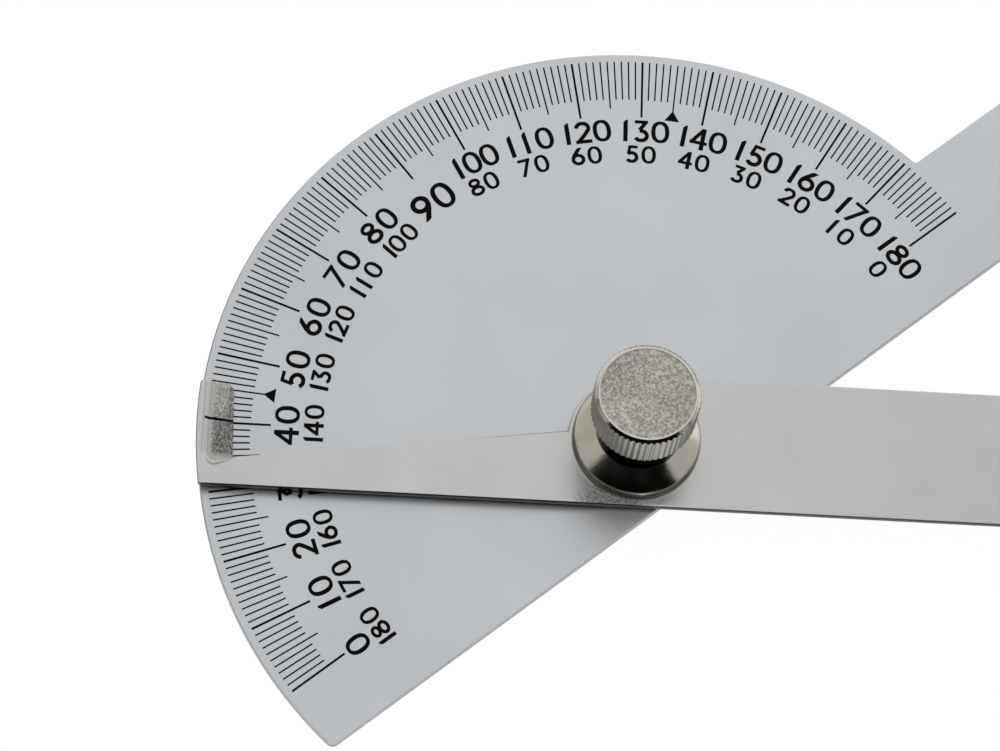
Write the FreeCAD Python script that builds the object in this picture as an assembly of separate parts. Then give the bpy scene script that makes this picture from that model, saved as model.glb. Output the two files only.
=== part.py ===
import FreeCAD, Part
import math
import os

# A stainless steel protractor: a half-round dial in one sheet with its base arm,
# and a second arm that swings over it and is clamped by a knurled thumb nut.
# Millimetres. The pivot stands on the origin, at the back face of the stud's head.
# +X runs out along the base arm, +Y towards the 90 degree mark, +Z out of the dial.

# Dial plate and base arm, one sheet
dial_radius = 45.0
plate_thickness = 0.8
arm_width = 14.0
base_arm_length = 150.0
arm_end_corner_radius = 1.5
dial_corner_radius = 0.8
dial_neck_radius = 1.0
hang_hole_radius = 2.0
hang_hole_inset = 7.0

# Degree scale, a thin black fill on the dial
scale_margin = 0.85
degree_mark_length = 4.4
five_degree_mark_length = 5.45
ten_degree_mark_length = 6.45
fine_mark_width = 0.14
bold_mark_width = 0.20
mark_thickness = 0.02
arrow_height = 1.1
arrow_base = 1.38
arrow_readings = (45, 135)
last_reading = 180

# Rotating arm
swing_arm_length = 150.0
swing_arm_thickness = 1.0
rest_reading = 40.0
tip_overhang = 0.15
tab_height = 4.1
pointer_root_height = 1.52
pointer_tip_width = 2.88
tab_corner_radius = 0.8
tab_rim_radius = 0.4
pointer_corner_radius = 0.3

# Reading pad, pressed down into the arm's tip
pad_rim_width = 0.78
pad_width = 2.98
reading_edge_slant = 0.34
pad_wall_run = 0.3
pad_low_land = 2.0
pad_low_rise = 0.95
pad_corner_radius = 1.3
pad_clearance = 0.08
pad_edge_thickness = 0.37
pad_root_thickness = 0.6
index_mark_width = 0.24

# Pivot stud
head_radius = 5.0
head_thickness = 1.2
head_edge_chamfer = 0.3
neck_across_flats = 4.4
journal_radius = 2.5
thread_radius = 2.0
stud_tip_chamfer = 0.4
thread_engagement = 6.0
running_clearance = 0.05

# Washers and collar
friction_washer_radius = 6.5
friction_washer_thickness = 0.5
collar_flange_radius = 6.65
collar_edge_radius = 6.5
collar_rim_height = 1.3
collar_height = 3.0
collar_top_radius = 4.45
collar_foot_bevel = 0.25
spring_washer_radius = 4.4
spring_washer_thickness = 0.25
spring_washer_rise = 0.10

# Thumb nut
nut_radius = 5.4
nut_height = 9.7
nut_foot_radius = 4.45
nut_body_radius = 5.05
knurl_length = 4.5
knurl_teeth = 56
knurl_depth = 0.12
knurl_foot_bevel = 0.12
nut_ring_radius = 4.99
nut_ring_width = 0.19
nut_chamfer_drop = 0.42
nut_face_step = 0.07
nut_face_dish = 0.14
nut_hole_spare = 1.2

# Heights that follow from the stack of pieces on the stud
plate_bottom = head_thickness
plate_top = plate_bottom + plate_thickness
arm_bottom = plate_top + friction_washer_thickness
arm_top = arm_bottom + swing_arm_thickness
collar_top = arm_top + collar_height
nut_top = collar_top + nut_height
knurl_top = nut_top - nut_chamfer_drop
knurl_bottom = knurl_top - knurl_length
stud_top = collar_top + thread_engagement
half_width = arm_width / 2
tip_radius = dial_radius + tip_overhang
pad_rim_x = -(dial_radius - pad_rim_width)
reading_edge_x = pad_rim_x + pad_width
pad_low_end = half_width - pad_low_land

up = FreeCAD.Vector(0, 0, 1)
pivot = FreeCAD.Vector(0, 0, 0)


def at(x, y, z=0.0):
    return FreeCAD.Vector(x, y, z)


def line(start, end):
    return Part.LineSegment(start, end).toShape()


def arc_about_pivot(radius, start_angle, end_angle, z=0.0):
    """An arc round the pivot axis, counterclockwise, with its angles in degrees."""
    circle = Part.Circle(at(0, 0, z), up, radius)
    return circle.toShape(math.radians(start_angle), math.radians(end_angle))


def on_circle(radius, angle):
    return at(radius * math.cos(math.radians(angle)), radius * math.sin(math.radians(angle)))


def extruded(edges, bottom, top):
    """A solid from a closed flat outline at height 0, standing from bottom to top."""
    face = Part.Face(Part.Wire(Part.__sortEdges__(edges)))
    face.translate(at(0, 0, bottom))
    return face.extrude(at(0, 0, top - bottom))


def turned(points):
    """A solid of revolution about the pivot axis from (radius, height) points."""
    corners = [at(radius, 0, height) for radius, height in points]
    profile = Part.Face(Part.makePolygon(corners + corners[:1]))
    return profile.revolve(pivot, up, 360)


def upright_prism(radius, bottom, top):
    return Part.makeCylinder(radius, top - bottom, at(0, 0, bottom))


def round_upright_edges(solid, spots, radius):
    """Fillets the edges that stand upright at the given (x, y) spots."""
    chosen = []
    for edge in solid.Edges:
        ends = [vertex.Point for vertex in edge.Vertexes]
        if len(ends) != 2 or abs(ends[0].z - ends[1].z) < 1e-6:
            continue
        for x, y in spots:
            if all(math.hypot(end.x - x, end.y - y) < 1e-4 for end in ends):
                chosen.append(edge)
    return solid.makeFillet(radius, chosen)


def side_profile(points, half_depth):
    """A prism from an (x, z) outline, running across the arm to both sides."""
    corners = [at(x, -half_depth, z) for x, z in points]
    face = Part.Face(Part.makePolygon(corners + corners[:1]))
    return face.extrude(at(0, 2 * half_depth, 0))


def hang_hole(arm_length, bottom, top):
    hole = upright_prism(hang_hole_radius, bottom, top)
    hole.translate(at(arm_length - hang_hole_inset, 0))
    return hole


def dial_plate():
    """The half-round dial with its base arm and the square hole for the stud's neck."""
    edge_x = math.sqrt(dial_radius**2 - half_width**2)
    edge_angle = math.degrees(math.asin(half_width / dial_radius))
    neck = at(edge_x, half_width)
    low_corner = at(-edge_x, -half_width)
    end_low = at(base_arm_length, -half_width)
    end_high = at(base_arm_length, half_width)
    outline = [
        arc_about_pivot(dial_radius, edge_angle, 180 + edge_angle),
        line(low_corner, end_low),
        line(end_low, end_high),
        line(end_high, neck),
    ]
    plate = extruded(outline, plate_bottom, plate_top)
    plate = round_upright_edges(plate, [(-edge_x, -half_width)], dial_corner_radius)
    plate = round_upright_edges(plate, [(edge_x, half_width)], dial_neck_radius)
    ends = [(base_arm_length, -half_width), (base_arm_length, half_width)]
    plate = round_upright_edges(plate, ends, arm_end_corner_radius)
    hole_width = neck_across_flats + 2 * running_clearance
    corner = at(-hole_width / 2, -hole_width / 2, plate_bottom)
    square_hole = Part.makeBox(hole_width, hole_width, plate_thickness, corner)
    return plate.cut([square_hole, hang_hole(base_arm_length, plate_bottom, plate_top)])


def scale_mark(reading, length, width):
    """One radial mark of the scale. Reading 0 lies along -X and 180 along +X."""
    outer = dial_radius - scale_margin
    mark = Part.makeBox(length, width, mark_thickness, at(outer - length, -width / 2, plate_top))
    mark.rotate(pivot, up, 180 - reading)
    return mark


def marks(readings, length, width):
    return Part.makeCompound([scale_mark(reading, length, width) for reading in readings])


def degree_marks():
    readings = [reading for reading in range(last_reading + 1) if reading % 5]
    return marks(readings, degree_mark_length, fine_mark_width)


def five_degree_marks():
    readings = [reading for reading in range(5, last_reading, 10)]
    return marks(readings, five_degree_mark_length, fine_mark_width)


def ten_degree_marks():
    readings = [reading for reading in range(0, last_reading + 1, 10)]
    return marks(readings, ten_degree_mark_length, bold_mark_width)


def dial_arrows():
    """Small triangles at the inner ends of the 45 and 135 degree marks, pointing outwards."""
    tip = dial_radius - scale_margin - five_degree_mark_length
    base = tip - arrow_height
    arrows = []
    for reading in arrow_readings:
        corners = [at(tip, 0), at(base, arrow_base / 2), at(base, -arrow_base / 2)]
        edges = [line(corners[k], corners[(k + 1) % 3]) for k in range(3)]
        arrow = extruded(edges, plate_top, plate_top + mark_thickness)
        arrow.rotate(pivot, up, 180 - reading)
        arrows.append(arrow)
    return Part.makeCompound(arrows)


def pad_outline(grow, height):
    """The pressed pad's outline from its rim to past the reading edge, grown outwards."""
    wall = pad_rim_x - grow
    centre = at(wall + grow + pad_corner_radius, -(pad_low_end - pad_corner_radius), height)
    past_edge = reading_edge_x + 1.0
    past_tab = tab_height + 1.0
    slope = pad_low_rise / (reading_edge_x - centre.x)
    low_end = -(pad_low_end + grow)
    past_end = low_end + slope * (past_edge - centre.x)
    corner_circle = Part.Circle(centre, up, pad_corner_radius + grow)
    rim_end = at(wall, centre.y, height)
    low_start = at(centre.x, low_end, height)
    edges = [
        line(at(wall, past_tab, height), rim_end),
        corner_circle.toShape(math.pi, 1.5 * math.pi),
        line(low_start, at(past_edge, past_end, height)),
        line(at(past_edge, past_end, height), at(past_edge, past_tab, height)),
        line(at(past_edge, past_tab, height), at(wall, past_tab, height)),
    ]
    return Part.Wire(edges)


def pad_heights():
    """The pad's floor and underside heights at its rim and at its reading edge."""
    under_edge = plate_top + pad_clearance
    floor_rim = arm_bottom + pad_root_thickness
    floor_edge = under_edge + pad_edge_thickness
    under = ((pad_rim_x, arm_bottom), (reading_edge_x, under_edge))
    floor = ((pad_rim_x, floor_rim), (reading_edge_x, floor_edge))
    return floor, under


def height_on(slope_line, x):
    (x0, z0), (x1, z1) = slope_line
    return z0 + (z1 - z0) * (x - x0) / (x1 - x0)


def arm_blank(bottom, top):
    """The rotating arm's outline in its own frame, long end along +X, tip along -X."""
    tip_low_x = math.sqrt(tip_radius**2 - half_width**2)
    tip_high_x = math.sqrt(tip_radius**2 - tab_height**2)
    low_angle = 180 + math.degrees(math.asin(half_width / tip_radius))
    high_angle = 180 - math.degrees(math.asin(tab_height / tip_radius))
    edge_y = pointer_tip_width - half_width
    slope = (edge_y - pointer_root_height) / reading_edge_x
    a = 1 + slope**2
    b = 2 * slope * pointer_root_height
    c = pointer_root_height**2 - half_width**2
    boss_x = (-b - math.sqrt(b**2 - 4 * a * c)) / (2 * a)
    boss_y = pointer_root_height + slope * boss_x
    boss_angle = math.degrees(math.atan2(boss_y, boss_x))
    end_low = at(swing_arm_length, -half_width)
    end_high = at(swing_arm_length, half_width)
    tab_inner_x = reading_edge_x - reading_edge_slant
    tab_inner = at(tab_inner_x, tab_height)
    pointer_corner = at(reading_edge_x, edge_y)
    outline = [
        line(at(-tip_low_x, -half_width), end_low),
        line(end_low, end_high),
        line(end_high, at(0, half_width)),
        arc_about_pivot(half_width, 90, boss_angle),
        line(at(boss_x, boss_y), pointer_corner),
        line(pointer_corner, tab_inner),
        line(tab_inner, at(-tip_high_x, tab_height)),
        arc_about_pivot(tip_radius, high_angle, low_angle),
    ]
    blank = extruded(outline, bottom, top)
    ends = [(swing_arm_length, -half_width), (swing_arm_length, half_width)]
    blank = round_upright_edges(blank, ends, arm_end_corner_radius)
    blank = round_upright_edges(blank, [(tab_inner_x, tab_height)], tab_corner_radius)
    blank = round_upright_edges(blank, [(-tip_high_x, tab_height)], tab_rim_radius)
    pointer_corners = [(-tip_low_x, -half_width), (reading_edge_x, edge_y)]
    return round_upright_edges(blank, pointer_corners, pointer_corner_radius)


def turned_to_rest(shape):
    """Turns a shape from the arm's own frame to the reading that the arm rests at."""
    shape.rotate(pivot, up, -rest_reading)
    return shape


def rotating_arm():
    """A flat arm whose tip holds a pad pressed down to the dial, thinner at its reading edge."""
    floor, under = pad_heights()
    left = -tip_radius - 1.0
    right = reading_edge_x + 2.0
    above = arm_top + 1.0
    reach = pad_low_end + tab_height
    over_floor = side_profile(
        [
            (left, height_on(floor, left)),
            (right, height_on(floor, right)),
            (right, above),
            (left, above),
        ],
        reach,
    )
    between = side_profile(
        [
            (left, height_on(under, left)),
            (right, height_on(under, right)),
            (right, height_on(floor, right)),
            (left, height_on(floor, left)),
        ],
        reach,
    )
    lowest = plate_top + pad_clearance
    pressing = Part.makeLoft([pad_outline(0, lowest - 1.0), pad_outline(0, arm_bottom)], True, True)
    opening = Part.makeLoft([pad_outline(0, arm_bottom), pad_outline(pad_wall_run, arm_top)], True, True)
    opening = opening.fuse(pressing)
    footprint = Part.Face(pad_outline(pad_wall_run, lowest)).extrude(at(0, 0, arm_top - lowest))
    pad = footprint.common(between)
    span = swing_arm_length + 2 * tip_radius
    layer = Part.makeBox(span, arm_width + 2, swing_arm_thickness, at(left, -half_width - 1.0, arm_bottom))
    arm = arm_blank(lowest, arm_top).common(layer.fuse(pad)).cut(opening.common(over_floor))
    bore = upright_prism(journal_radius + running_clearance, arm_bottom, arm_top)
    arm = arm.cut([bore, hang_hole(swing_arm_length, arm_bottom, arm_top)])
    return turned_to_rest(arm.removeSplitter())


def index_mark():
    """The black line on the pad that is read against the scale."""
    floor, _ = pad_heights()
    start, start_height = floor[0]
    corner_y = pointer_tip_width - half_width
    end = reading_edge_x + reading_edge_slant * corner_y / (tab_height - corner_y)
    end_height = height_on(floor, end)
    mark = side_profile(
        [
            (start, start_height),
            (end, end_height),
            (end, end_height + mark_thickness),
            (start, start_height + mark_thickness),
        ],
        index_mark_width / 2,
    )
    return turned_to_rest(mark)


def pivot_stud():
    """A flat-headed stud: square neck in the plate, journal for the arm, then the thread."""
    journal_top = arm_top - running_clearance
    head = turned(
        [
            (0, 0),
            (head_radius - head_edge_chamfer, 0),
            (head_radius, head_edge_chamfer),
            (head_radius, head_thickness),
            (0, head_thickness),
        ]
    )
    neck_corner = at(-neck_across_flats / 2, -neck_across_flats / 2, head_thickness)
    neck = Part.makeBox(neck_across_flats, neck_across_flats, plate_thickness, neck_corner)
    shank = turned(
        [
            (0, plate_top),
            (journal_radius, plate_top),
            (journal_radius, journal_top),
            (thread_radius, journal_top),
            (thread_radius, stud_top - stud_tip_chamfer),
            (thread_radius - stud_tip_chamfer, stud_top),
            (0, stud_top),
        ]
    )
    return head.fuse([neck, shank]).removeSplitter()


def friction_washer():
    """The flat washer that keeps the arm off the dial and gives it drag."""
    disc = upright_prism(friction_washer_radius, plate_top, arm_bottom)
    return disc.cut(upright_prism(journal_radius + running_clearance, plate_top, arm_bottom))


def clamp_collar():
    """A polished turned collar: a cone from the nut's foot out to a thick flange."""
    bore = thread_radius + running_clearance
    recess_radius = spring_washer_radius + running_clearance
    recess_top = arm_top + spring_washer_thickness + spring_washer_rise
    return turned(
        [
            (collar_top_radius, collar_top),
            (collar_edge_radius, arm_top + collar_rim_height),
            (collar_flange_radius, arm_top + collar_foot_bevel),
            (collar_flange_radius - collar_foot_bevel, arm_top),
            (recess_radius, arm_top),
            (recess_radius, recess_top),
            (bore, recess_top),
            (bore, collar_top),
        ]
    )


def spring_washer():
    """A disc spring, pressed almost flat under the collar, that keeps drag on a loosened arm."""
    hole = thread_radius + 3 * running_clearance
    return turned(
        [
            (hole, arm_top + spring_washer_rise),
            (spring_washer_radius, arm_top),
            (spring_washer_radius, arm_top + spring_washer_thickness),
            (hole, arm_top + spring_washer_rise + spring_washer_thickness),
        ]
    )


def knurl_prism(bottom, top):
    """A tall prism whose outline is the knurl's ring of V teeth."""
    corners = []
    for tooth in range(knurl_teeth):
        angle = 360.0 * tooth / knurl_teeth
        corners.append(on_circle(nut_radius, angle))
        corners.append(on_circle(nut_radius - knurl_depth, angle + 180.0 / knurl_teeth))
    corners.append(corners[0])
    face = Part.Face(Part.makePolygon(corners))
    face.translate(at(0, 0, bottom))
    return face.extrude(at(0, 0, top - bottom))


def thumb_nut():
    """A tall nut: a tapered foot, a knurled band, a chamfer and a ring round a dished face.

    The teeth are cut wherever the blank is wider than their roots, so they run out
    through the chamfer as real knurling does."""
    face_radius = nut_ring_radius - nut_ring_width
    blank = turned(
        [
            (0, collar_top),
            (nut_foot_radius, collar_top),
            (nut_body_radius, knurl_bottom),
            (nut_radius - knurl_foot_bevel, knurl_bottom),
            (nut_radius, knurl_bottom + knurl_foot_bevel),
            (nut_radius, knurl_top),
            (nut_ring_radius, nut_top),
            (face_radius, nut_top),
            (face_radius - nut_face_step, nut_top - nut_face_step),
            (0, nut_top - nut_face_dish),
        ]
    )
    hole_radius = thread_radius + running_clearance
    hole = upright_prism(hole_radius, collar_top, stud_top + nut_hole_spare)
    return blank.common(knurl_prism(collar_top, nut_top)).cut(hole).removeSplitter()


pieces = {
    "dial_plate": dial_plate,
    "degree_marks": degree_marks,
    "five_degree_marks": five_degree_marks,
    "ten_degree_marks": ten_degree_marks,
    "dial_arrows": dial_arrows,
    "rotating_arm": rotating_arm,
    "index_mark": index_mark,
    "pivot_stud": pivot_stud,
    "friction_washer": friction_washer,
    "clamp_collar": clamp_collar,
    "spring_washer": spring_washer,
    "thumb_nut": thumb_nut,
}

os.makedirs("parts", exist_ok=True)
for name, make in pieces.items():
    shape = make()
    shape.exportStep("parts/" + name + ".step")
    box = shape.BoundBox
    print(name, len(shape.Solids), "solid(s)", round(shape.Volume, 3), "mm3", shape.isValid(),
          "z", round(box.ZMin, 3), round(box.ZMax, 3))
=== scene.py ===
import math

import bpy
import numpy as np
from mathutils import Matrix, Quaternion, Vector
from mathutils.geometry import delaunay_2d_cdt


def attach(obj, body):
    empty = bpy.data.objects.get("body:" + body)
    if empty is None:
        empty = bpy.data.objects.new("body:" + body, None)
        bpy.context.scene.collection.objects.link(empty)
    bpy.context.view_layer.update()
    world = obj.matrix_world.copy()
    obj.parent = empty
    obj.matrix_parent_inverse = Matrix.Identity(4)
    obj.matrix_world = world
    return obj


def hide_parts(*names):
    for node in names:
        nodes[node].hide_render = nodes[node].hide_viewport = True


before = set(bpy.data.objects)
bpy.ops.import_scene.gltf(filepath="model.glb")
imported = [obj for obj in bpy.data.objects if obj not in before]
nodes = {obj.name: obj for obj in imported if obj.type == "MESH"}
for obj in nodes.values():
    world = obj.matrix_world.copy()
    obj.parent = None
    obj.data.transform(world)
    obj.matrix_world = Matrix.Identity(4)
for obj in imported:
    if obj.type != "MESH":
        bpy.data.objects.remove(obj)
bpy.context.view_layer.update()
print("frame loaded:", len(nodes), "nodes")

mm = 0.001

# Sizes in millimetres. The pivot stands on the origin, reading 0 lies along -X and
# the fixed base arm along +X. The swinging arm rests at reading 40.
dial = {
    "radius": 45.0,
    "bottom": 1.2,
    "top": 2.0,
    "armWidth": 14.0,
    "armLength": 150.0,
    "endRadius": 1.5,
    "lowCornerRadius": 0.8,
    "neckRadius": 0.4,
    "squareHole": 4.5,
    "squareCorner": 0.25,
    "hangHoleAt": 143.0,
    "hangHoleRadius": 2.0,
    "dieRoll": 0.09,
    "burrSide": 0.04,
}
arm = {
    "bottom": 2.5,
    "top": 3.5,
    "length": 150.0,
    "restReading": 40.0,
    "boreRadius": 2.55,
    "rim": 45.15,
    "tabHeight": 4.1,
    "rootHeight": 1.52,
    "tipWidth": 2.88,
    "tabRadius": 0.8,
    "tabRimRadius": 0.4,
    "tipRadius": 0.3,
    "readingEdge": -41.24,
    "edgeSlant": 0.34,
    "lowEdge": -7.2,
    "dieRoll": 0.06,
    "burrSide": 0.04,
}
pad = {
    "rim": -44.22,
    "lowEnd": -5.05,
    "lowEndAtEdge": -4.05,
    "cornerRadius": 1.0,
    "wallOut": 0.36,
    "wallIn": 0.34,
    "lowRamp": 1.0,
    "lowRampAtEdge": 0.2,
    "floorAtRim": 3.2,
    "floorAtEdge": 2.45,
    "underAtEdge": 2.08,
    "pastEdge": 1.2,
    "outlineStep": 0.2,
    "outlineReach": -40.0,
    "gridStep": 0.12,
    "gridX": (-45.2, -39.4),
    "gridY": (-7.0, 4.2),
    "gridShift": (0.37, 0.41),
    "gridMargin": 0.6,
}
# Black fills stand a little proud of the metal and reach a little into it.
fill = {"above": 0.02, "below": 0.01}

# The camera looks at the dial from its front left, rolled a little.
view = {
    "standsAt": (-110.531, -84.199, 349.743),
    "looksAt": (-6.458, 14.365, 2.0),
    "rollDegrees": 9.123,
    "lens": 130.5,
    "sensor": 36.0,
}


def makeCamera():
    data = bpy.data.cameras.new("camera")
    data.lens = view["lens"]
    data.sensor_width = view["sensor"]
    data.sensor_fit = "HORIZONTAL"
    data.clip_start = 0.01
    data.clip_end = 20.0
    camera = bpy.data.objects.new("camera", data)
    bpy.context.scene.collection.objects.link(camera)
    place = Vector(view["standsAt"]) * mm
    look = Vector(view["looksAt"]) * mm - place
    turn = look.to_track_quat("-Z", "Y") @ Quaternion((0, 0, 1), math.radians(view["rollDegrees"]))
    camera.location = place
    camera.rotation_mode = "QUATERNION"
    camera.rotation_quaternion = turn
    bpy.context.scene.camera = camera


makeCamera()
bpy.context.scene.view_settings.view_transform = "Standard"
print("camera set")


# Colours and nodes

def linear(hexColour):
    # sRGB hex to linear: the low part is a straight line, the rest a power of 2.4
    parts = [int(hexColour[k:k + 2], 16) / 255 for k in (1, 3, 5)]
    lit = [c / 12.92 if c <= 0.04045 else ((c + 0.055) / 1.055) ** 2.4 for c in parts]
    return (*lit, 1.0)


def setInputs(tree, node, values):
    # values holds an input's number or the socket that feeds it
    for key, value in values.items():
        if isinstance(value, bpy.types.NodeSocket):
            tree.links.new(value, node.inputs[key])
        else:
            node.inputs[key].default_value = value


def addNode(tree, kind, values=None, **settings):
    node = tree.nodes.new(kind)
    for name, value in settings.items():
        setattr(node, name, value)
    setInputs(tree, node, values or {})
    return node


def emptyTree(owner):
    owner.use_nodes = True
    owner.node_tree.nodes.clear()
    return owner.node_tree


def newMaterial(name, metallic=1.0):
    material = bpy.data.materials.new(name)
    tree = emptyTree(material)
    shader = addNode(tree, "ShaderNodeBsdfPrincipled", {"Metallic": metallic})
    addNode(tree, "ShaderNodeOutputMaterial", {"Surface": shader.outputs[0]})
    place = addNode(tree, "ShaderNodeTexCoord").outputs["Object"]
    return material, tree, shader, place


def millimetres(tree, place, scale=(1, 1, 1), turn=0.0):
    # Object coordinates in millimetres, turned about the pivot and stretched
    turned = addNode(tree, "ShaderNodeMapping", {"Vector": place, "Rotation": (0, 0, math.radians(turn))})
    sizes = tuple(1000.0 / s for s in scale)
    return addNode(tree, "ShaderNodeMapping", {"Vector": turned.outputs[0], "Scale": sizes}).outputs[0]


def noise(tree, place, size, detail=2.0, rough=0.5, turn=0.0):
    # size is the width of its patches in millimetres, one number or one for each axis
    spot = millimetres(tree, place, size if isinstance(size, tuple) else (size,) * 3, turn)
    made = addNode(tree, "ShaderNodeTexNoise",
                   {"Vector": spot, "Scale": 1.0, "Detail": detail, "Roughness": rough})
    return made.outputs["Fac"]


def turningRings(tree, place, spacing, distortion):
    # The marks of a lathe tool. At scale 1 the wave node's rings are 2 pi / 20 apart.
    made = addNode(tree, "ShaderNodeTexWave",
                   {"Vector": millimetres(tree, place), "Scale": 2 * math.pi / 20 / spacing,
                    "Distortion": distortion}, wave_type="RINGS", rings_direction="Z")
    return made.outputs["Fac"]


def attribute(tree, name):
    return addNode(tree, "ShaderNodeAttribute", attribute_name=name).outputs["Fac"]


def spread(tree, value, toLow, toHigh, span=(0.3, 0.7)):
    # stretches a span of the value to new ends. Most of a noise lies between 0.3 and 0.7.
    ends = {"From Min": span[0], "From Max": span[1], "To Min": toLow, "To Max": toHigh}
    return addNode(tree, "ShaderNodeMapRange", {"Value": value, **ends}).outputs[0]


def blendColours(tree, factor, first, second):
    # first and second are hex colours or the sockets of colours
    first, second = (linear(c) if isinstance(c, str) else c for c in (first, second))
    made = addNode(tree, "ShaderNodeMix", {0: factor, 6: first, 7: second}, data_type="RGBA")
    return made.outputs[2]


def combine(tree, operation, first, second, clamped=False):
    made = addNode(tree, "ShaderNodeMath", {0: first, 1: second}, operation=operation, use_clamp=clamped)
    return made.outputs[0]


def relief(tree, height, depth, strength=1.0, under=None):
    # depth is the pattern's real height in millimetres, and under is the relief it lies on
    made = addNode(tree, "ShaderNodeBump", {"Height": height, "Distance": depth * mm, "Strength": strength})
    if under is not None:
        tree.links.new(under, made.inputs["Normal"])
    return made.outputs[0]


# Meshes

def meshObject(name, points, faces, body, materials, faceMaterials=None, sharp=28.0, replaced=()):
    # points are millimetres, an array of n by 3
    mesh = bpy.data.meshes.new(name)
    mesh.from_pydata((np.asarray(points, float) * mm).tolist(), [], [list(f) for f in faces])
    for material in materials:
        mesh.materials.append(material)
    if faceMaterials is not None:
        mesh.polygons.foreach_set("material_index", np.asarray(faceMaterials, np.int32))
    mesh.polygons.foreach_set("use_smooth", np.ones(len(mesh.polygons), bool))
    mesh.set_sharp_from_angle(angle=math.radians(sharp))
    mesh.validate()
    mesh.update()
    piece = bpy.data.objects.new(name, mesh)
    bpy.context.scene.collection.objects.link(piece)
    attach(piece, body)
    if replaced:
        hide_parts(*replaced)
    return piece


def storeValues(piece, label, values):
    # a number for each point, which the materials read by its label
    stored = piece.data.attributes.new(label, "FLOAT", "POINT")
    stored.data.foreach_set("value", values.astype(np.float32))


def arcPoints(centre, radius, start, end, count):
    # points round a centre, angles in degrees, radius one number or one for each axis
    angles = np.radians(np.linspace(start, end, count))
    return np.array(centre) + np.stack([np.cos(angles), np.sin(angles)], 1) * np.array(radius)


def smoothStep(x):
    x = np.clip(x, 0, 1)
    return x * x * (3 - 2 * x)


def easeIn(x, start, width):
    return smoothStep((x - start) / width)


def roundCorner(before, corner, after, radius, count=7):
    # an arc that touches both straight lines of a corner
    before, corner, after = (np.array(p, float) for p in (before, corner, after))
    toBefore = (before - corner) / np.linalg.norm(before - corner)
    toAfter = (after - corner) / np.linalg.norm(after - corner)
    middle = toBefore + toAfter
    middle /= np.linalg.norm(middle)
    half = math.acos(np.clip(np.dot(middle, toBefore), -1, 1))
    centre = corner + middle * radius / math.sin(half)
    first = corner + toBefore * radius / math.tan(half) - centre
    last = corner + toAfter * radius / math.tan(half) - centre
    start = math.degrees(math.atan2(first[1], first[0]))
    sweep = math.degrees(math.atan2(last[1], last[0])) - start
    sweep = (sweep + 180) % 360 - 180
    return arcPoints(centre, radius, start, start + sweep, count)


def rimCentre(rim, height, radius, side, outside=False):
    # centre of a small arc between the rim circle and a level line at that height
    reach = rim + radius if outside else rim - radius
    y = height + radius if (outside or height < 0) else height - radius
    return np.array([side * math.sqrt(reach ** 2 - y ** 2), y])


def angleOf(point):
    return math.degrees(math.atan2(point[1], point[0])) % 360


def offsetLoop(loop, distance):
    # each point moves inwards along the sum of its two edges' normals
    along = np.roll(loop, -1, 0) - loop
    along /= np.linalg.norm(along, axis=1)[:, None]
    after = np.stack([-along[:, 1], along[:, 0]], 1)
    before = np.roll(after, 1, 0)
    share = 1 + (before * after).sum(1)
    return loop + (before + after) / share[:, None] * distance


def finerLoop(loop, longest, reach):
    # splits the long edges whose ends both lie to the left of x = reach
    parts = []
    for start, end in zip(loop, np.roll(loop, -1, 0)):
        length = np.linalg.norm(end - start)
        pieces = math.ceil(length / longest) if max(start[0], end[0]) < reach else 1
        parts.append(start + (end - start) * np.arange(pieces)[:, None] / pieces)
    return np.concatenate(parts)


def insideLoop(points, loop):
    # a point is inside where a ray to its right crosses the loop an odd number of times
    x, y = points[:, :1], points[:, 1:]
    ax, ay = loop[:, 0][None], loop[:, 1][None]
    bx, by = np.roll(loop, -1, 0)[:, 0][None], np.roll(loop, -1, 0)[:, 1][None]
    crosses = (ay > y) != (by > y)
    level = np.where(by == ay, 1e-12, by - ay)
    return (crosses & (x < ax + (bx - ax) * (y - ay) / level)).sum(1) % 2 == 1


mergeDistance = 1e-7


def fillShapes(shapes, extra=None):
    # Joins flat shapes, each an outer loop with its holes, into one set of triangles.
    # Also gives, for each loop's points, where they ended up.
    loops = [loop for outer, holes in shapes for loop in (outer, *holes)]
    counts = [len(loop) for loop in loops]
    starts = np.concatenate([[0], np.cumsum(counts)[:-1]])
    edges = []
    for start, count in zip(starts, counts):
        ring = np.arange(count) + start
        edges += np.stack([ring, np.roll(ring, -1)], 1).tolist()
    points = np.concatenate(loops + ([extra] if extra is not None else []))
    made = delaunay_2d_cdt([Vector(p) for p in points.tolist()], edges, [], 0, mergeDistance)
    flat = np.array([tuple(v) for v in made[0]])
    triangles = np.array(made[2])
    middles = flat[triangles].mean(1)
    kept = np.zeros(len(triangles), bool)
    for outer, holes in shapes:
        here = insideLoop(middles, outer)
        for hole in holes:
            here &= ~insideLoop(middles, hole)
        kept |= here
    place = np.zeros(len(points), int)
    for index, sources in enumerate(made[3]):
        place[sources] = index
    where = [place[start:start + count] for start, count in zip(starts, counts)]
    triangles = triangles[kept]
    corners = flat[triangles]
    first, second = corners[:, 1] - corners[:, 0], corners[:, 2] - corners[:, 0]
    clockwise = first[:, 0] * second[:, 1] - first[:, 1] * second[:, 0] < 0
    triangles[clockwise] = triangles[clockwise][:, ::-1]
    return flat, triangles, where


def openEdges(triangles):
    # edges that only one triangle has, in that triangle's direction
    edges = np.concatenate([triangles[:, [0, 1]], triangles[:, [1, 2]], triangles[:, [2, 0]]])
    size = triangles.max() + 1
    forward = edges[:, 0] * size + edges[:, 1]
    backward = edges[:, 1] * size + edges[:, 0]
    return edges[~np.isin(forward, backward)]


def bandFaces(upper, lower):
    return np.stack([upper, lower, np.roll(lower, -1), np.roll(upper, -1)], 1).tolist()


# a narrow flat band between the rolled edge and the large faces of a sheet
flatBand = 0.08


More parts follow.
